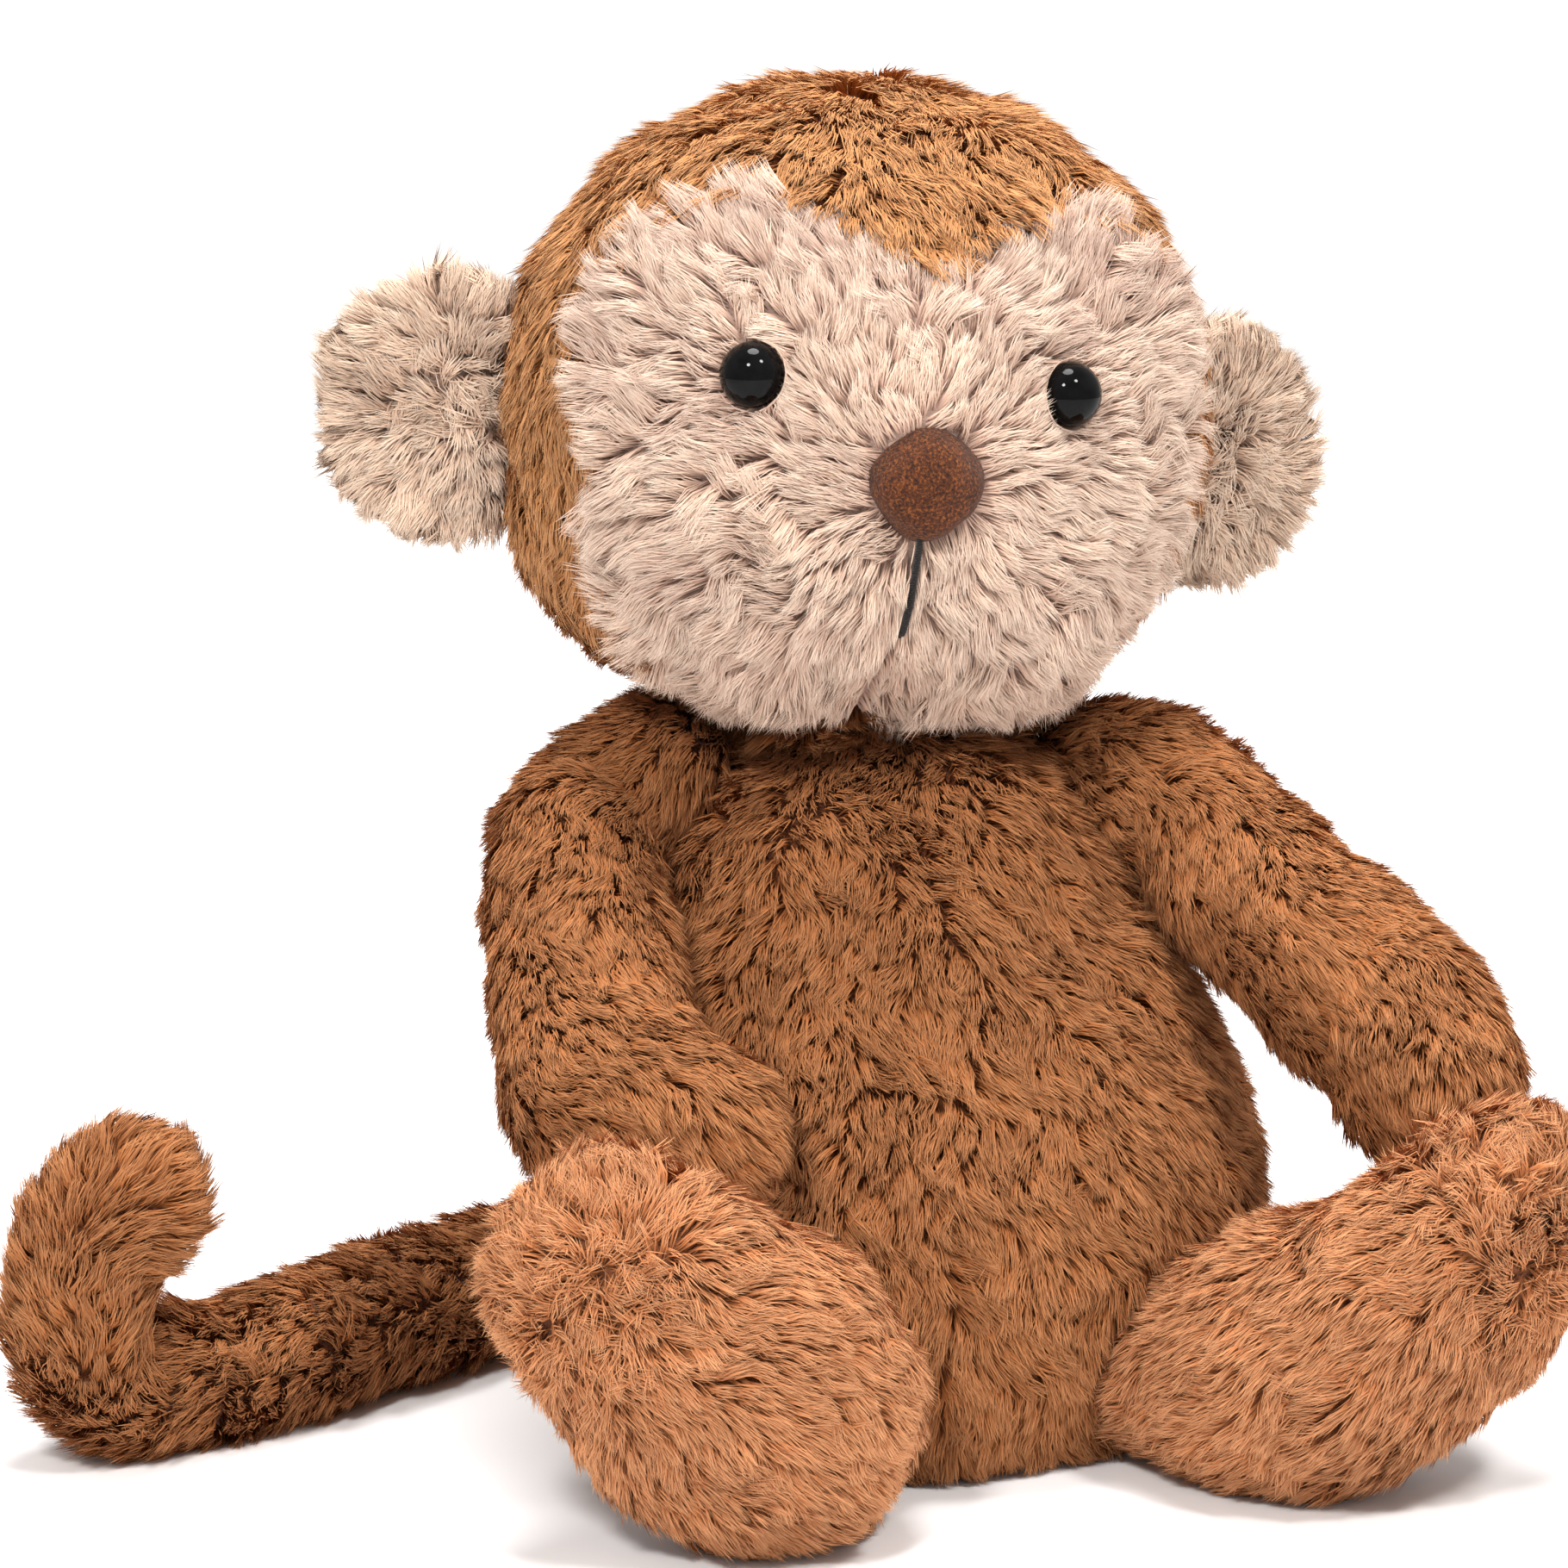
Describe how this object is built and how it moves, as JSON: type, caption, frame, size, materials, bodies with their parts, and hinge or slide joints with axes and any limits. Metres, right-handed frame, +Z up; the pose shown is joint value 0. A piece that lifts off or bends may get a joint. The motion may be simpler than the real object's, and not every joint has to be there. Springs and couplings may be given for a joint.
{
  "type": "stuffed toy monkey",
  "caption": "Sitting plush monkey with a round head, swept-back ears, domed eyes, suede nose, jointed soft limbs and a curled tail on a flat weighted seat.",
  "frame": {"origin": "centre of the flat seat face that the toy sits on", "axes": "+Z up, -Y is the way the monkey looks, +X towards its left hand"},
  "size_m": [0.2342, 0.1609, 0.2116],
  "materials": {
    "crown_plush": "caramel brown plush pile, slightly more orange than the body",
    "body_plush": "caramel brown plush pile, about 6 to 7 mm long",
    "face_plush": "beige plush pile, about 8 mm long",
    "ear_plush": "grey beige plush pile",
    "nose_suede": "brown suede cloth with a fine nap",
    "eye_plastic": "glossy black",
    "washer_plastic": "white moulded",
    "thread": "dark twisted embroidery thread",
    "seam_thread": "brown sewing thread and turned seam",
    "stuffing": "white polyester fibre",
    "beans": "calico pouch of plastic pellets"
  },
  "bodies": {
    "torso": {"torso_front": "body_plush", "torso_back": "body_plush", "seat_panel": "body_plush", "torso_stuffing": "stuffing", "seat_beans": "beans", "closing_stitch": "seam_thread"},
    "neck": {"neck_ring": "seam_thread"},
    "head": {"head_cover": "crown_plush", "face_panel": "face_plush", "head_stuffing": "stuffing", "nose_patch": "nose_suede", "nose_pad": "stuffing", "mouth_stitch": "thread", "eye_right": "eye_plastic", "eye_left": "eye_plastic", "eye_washer_right": "washer_plastic", "eye_washer_left": "washer_plastic"},
    "ear_right": {"ear_right_front": "ear_plush", "ear_right_back": "ear_plush"},
    "ear_left": {"ear_left_front": "ear_plush", "ear_left_back": "ear_plush"},
    "arm_right": {"arm_right_inner": "body_plush", "arm_right_outer": "body_plush", "arm_right_stuffing": "stuffing"},
    "arm_left": {"arm_left_inner": "body_plush", "arm_left_outer": "body_plush", "arm_left_stuffing": "stuffing"},
    "leg_right": {"leg_right_inner": "body_plush", "leg_right_outer": "body_plush", "leg_right_stuffing": "stuffing"},
    "leg_left": {"leg_left_inner": "body_plush", "leg_left_outer": "body_plush", "leg_left_stuffing": "stuffing"},
    "tail": {"tail_upper": "body_plush", "tail_lower": "body_plush", "tail_stuffing": "stuffing"}
  },
  "joints": [
    {"name": "neck_turn", "type": "hinge", "parent": "torso", "child": "neck", "pos_m": [-0.0105, 0.0085, 0.112], "axis": [0, 0, 1], "range_deg": [-40, 40]},
    {"name": "neck_nod", "type": "hinge", "parent": "neck", "child": "head", "pos_m": [-0.0105, 0.0085, 0.112], "axis": [1, 0, 0], "range_deg": [-10, 10]},
    {"name": "shoulder_right", "type": "hinge", "parent": "torso", "child": "arm_right", "pos_m": [-0.043, 0.0065, 0.1035], "axis": [-1, 0, 0], "range_deg": [0, 60]},
    {"name": "shoulder_left", "type": "hinge", "parent": "torso", "child": "arm_left", "pos_m": [0.0288, 0.0018, 0.101], "axis": [-1, 0, 0], "range_deg": [0, 60]},
    {"name": "hip_right", "type": "hinge", "parent": "torso", "child": "leg_right", "pos_m": [-0.029, -0.043, 0.017], "axis": [0, 0, -1], "range_deg": [-20, 5]},
    {"name": "hip_left", "type": "hinge", "parent": "torso", "child": "leg_left", "pos_m": [0.03, -0.041, 0.017], "axis": [0, 0, 1], "range_deg": [-20, 5]},
    {"name": "tail_swing", "type": "hinge", "parent": "torso", "child": "tail", "pos_m": [-0.011, 0.054, 0.014], "axis": [0, 0, -1], "range_deg": [0, 60]},
    {"name": "ear_fold_right", "type": "hinge", "parent": "head", "child": "ear_right", "pos_m": [-0.06594, 0.015, 0.16132], "axis": [0.0872, 0, 0.9962], "range_deg": [-15, 15], "stiffness_Nm_per_rad": 0.01},
    {"name": "ear_fold_left", "type": "hinge", "parent": "head", "child": "ear_left", "pos_m": [0.04351, 0.015, 0.15024], "axis": [0.0872, 0, 0.9962], "range_deg": [-15, 15], "stiffness_Nm_per_rad": 0.01}
  ]
}
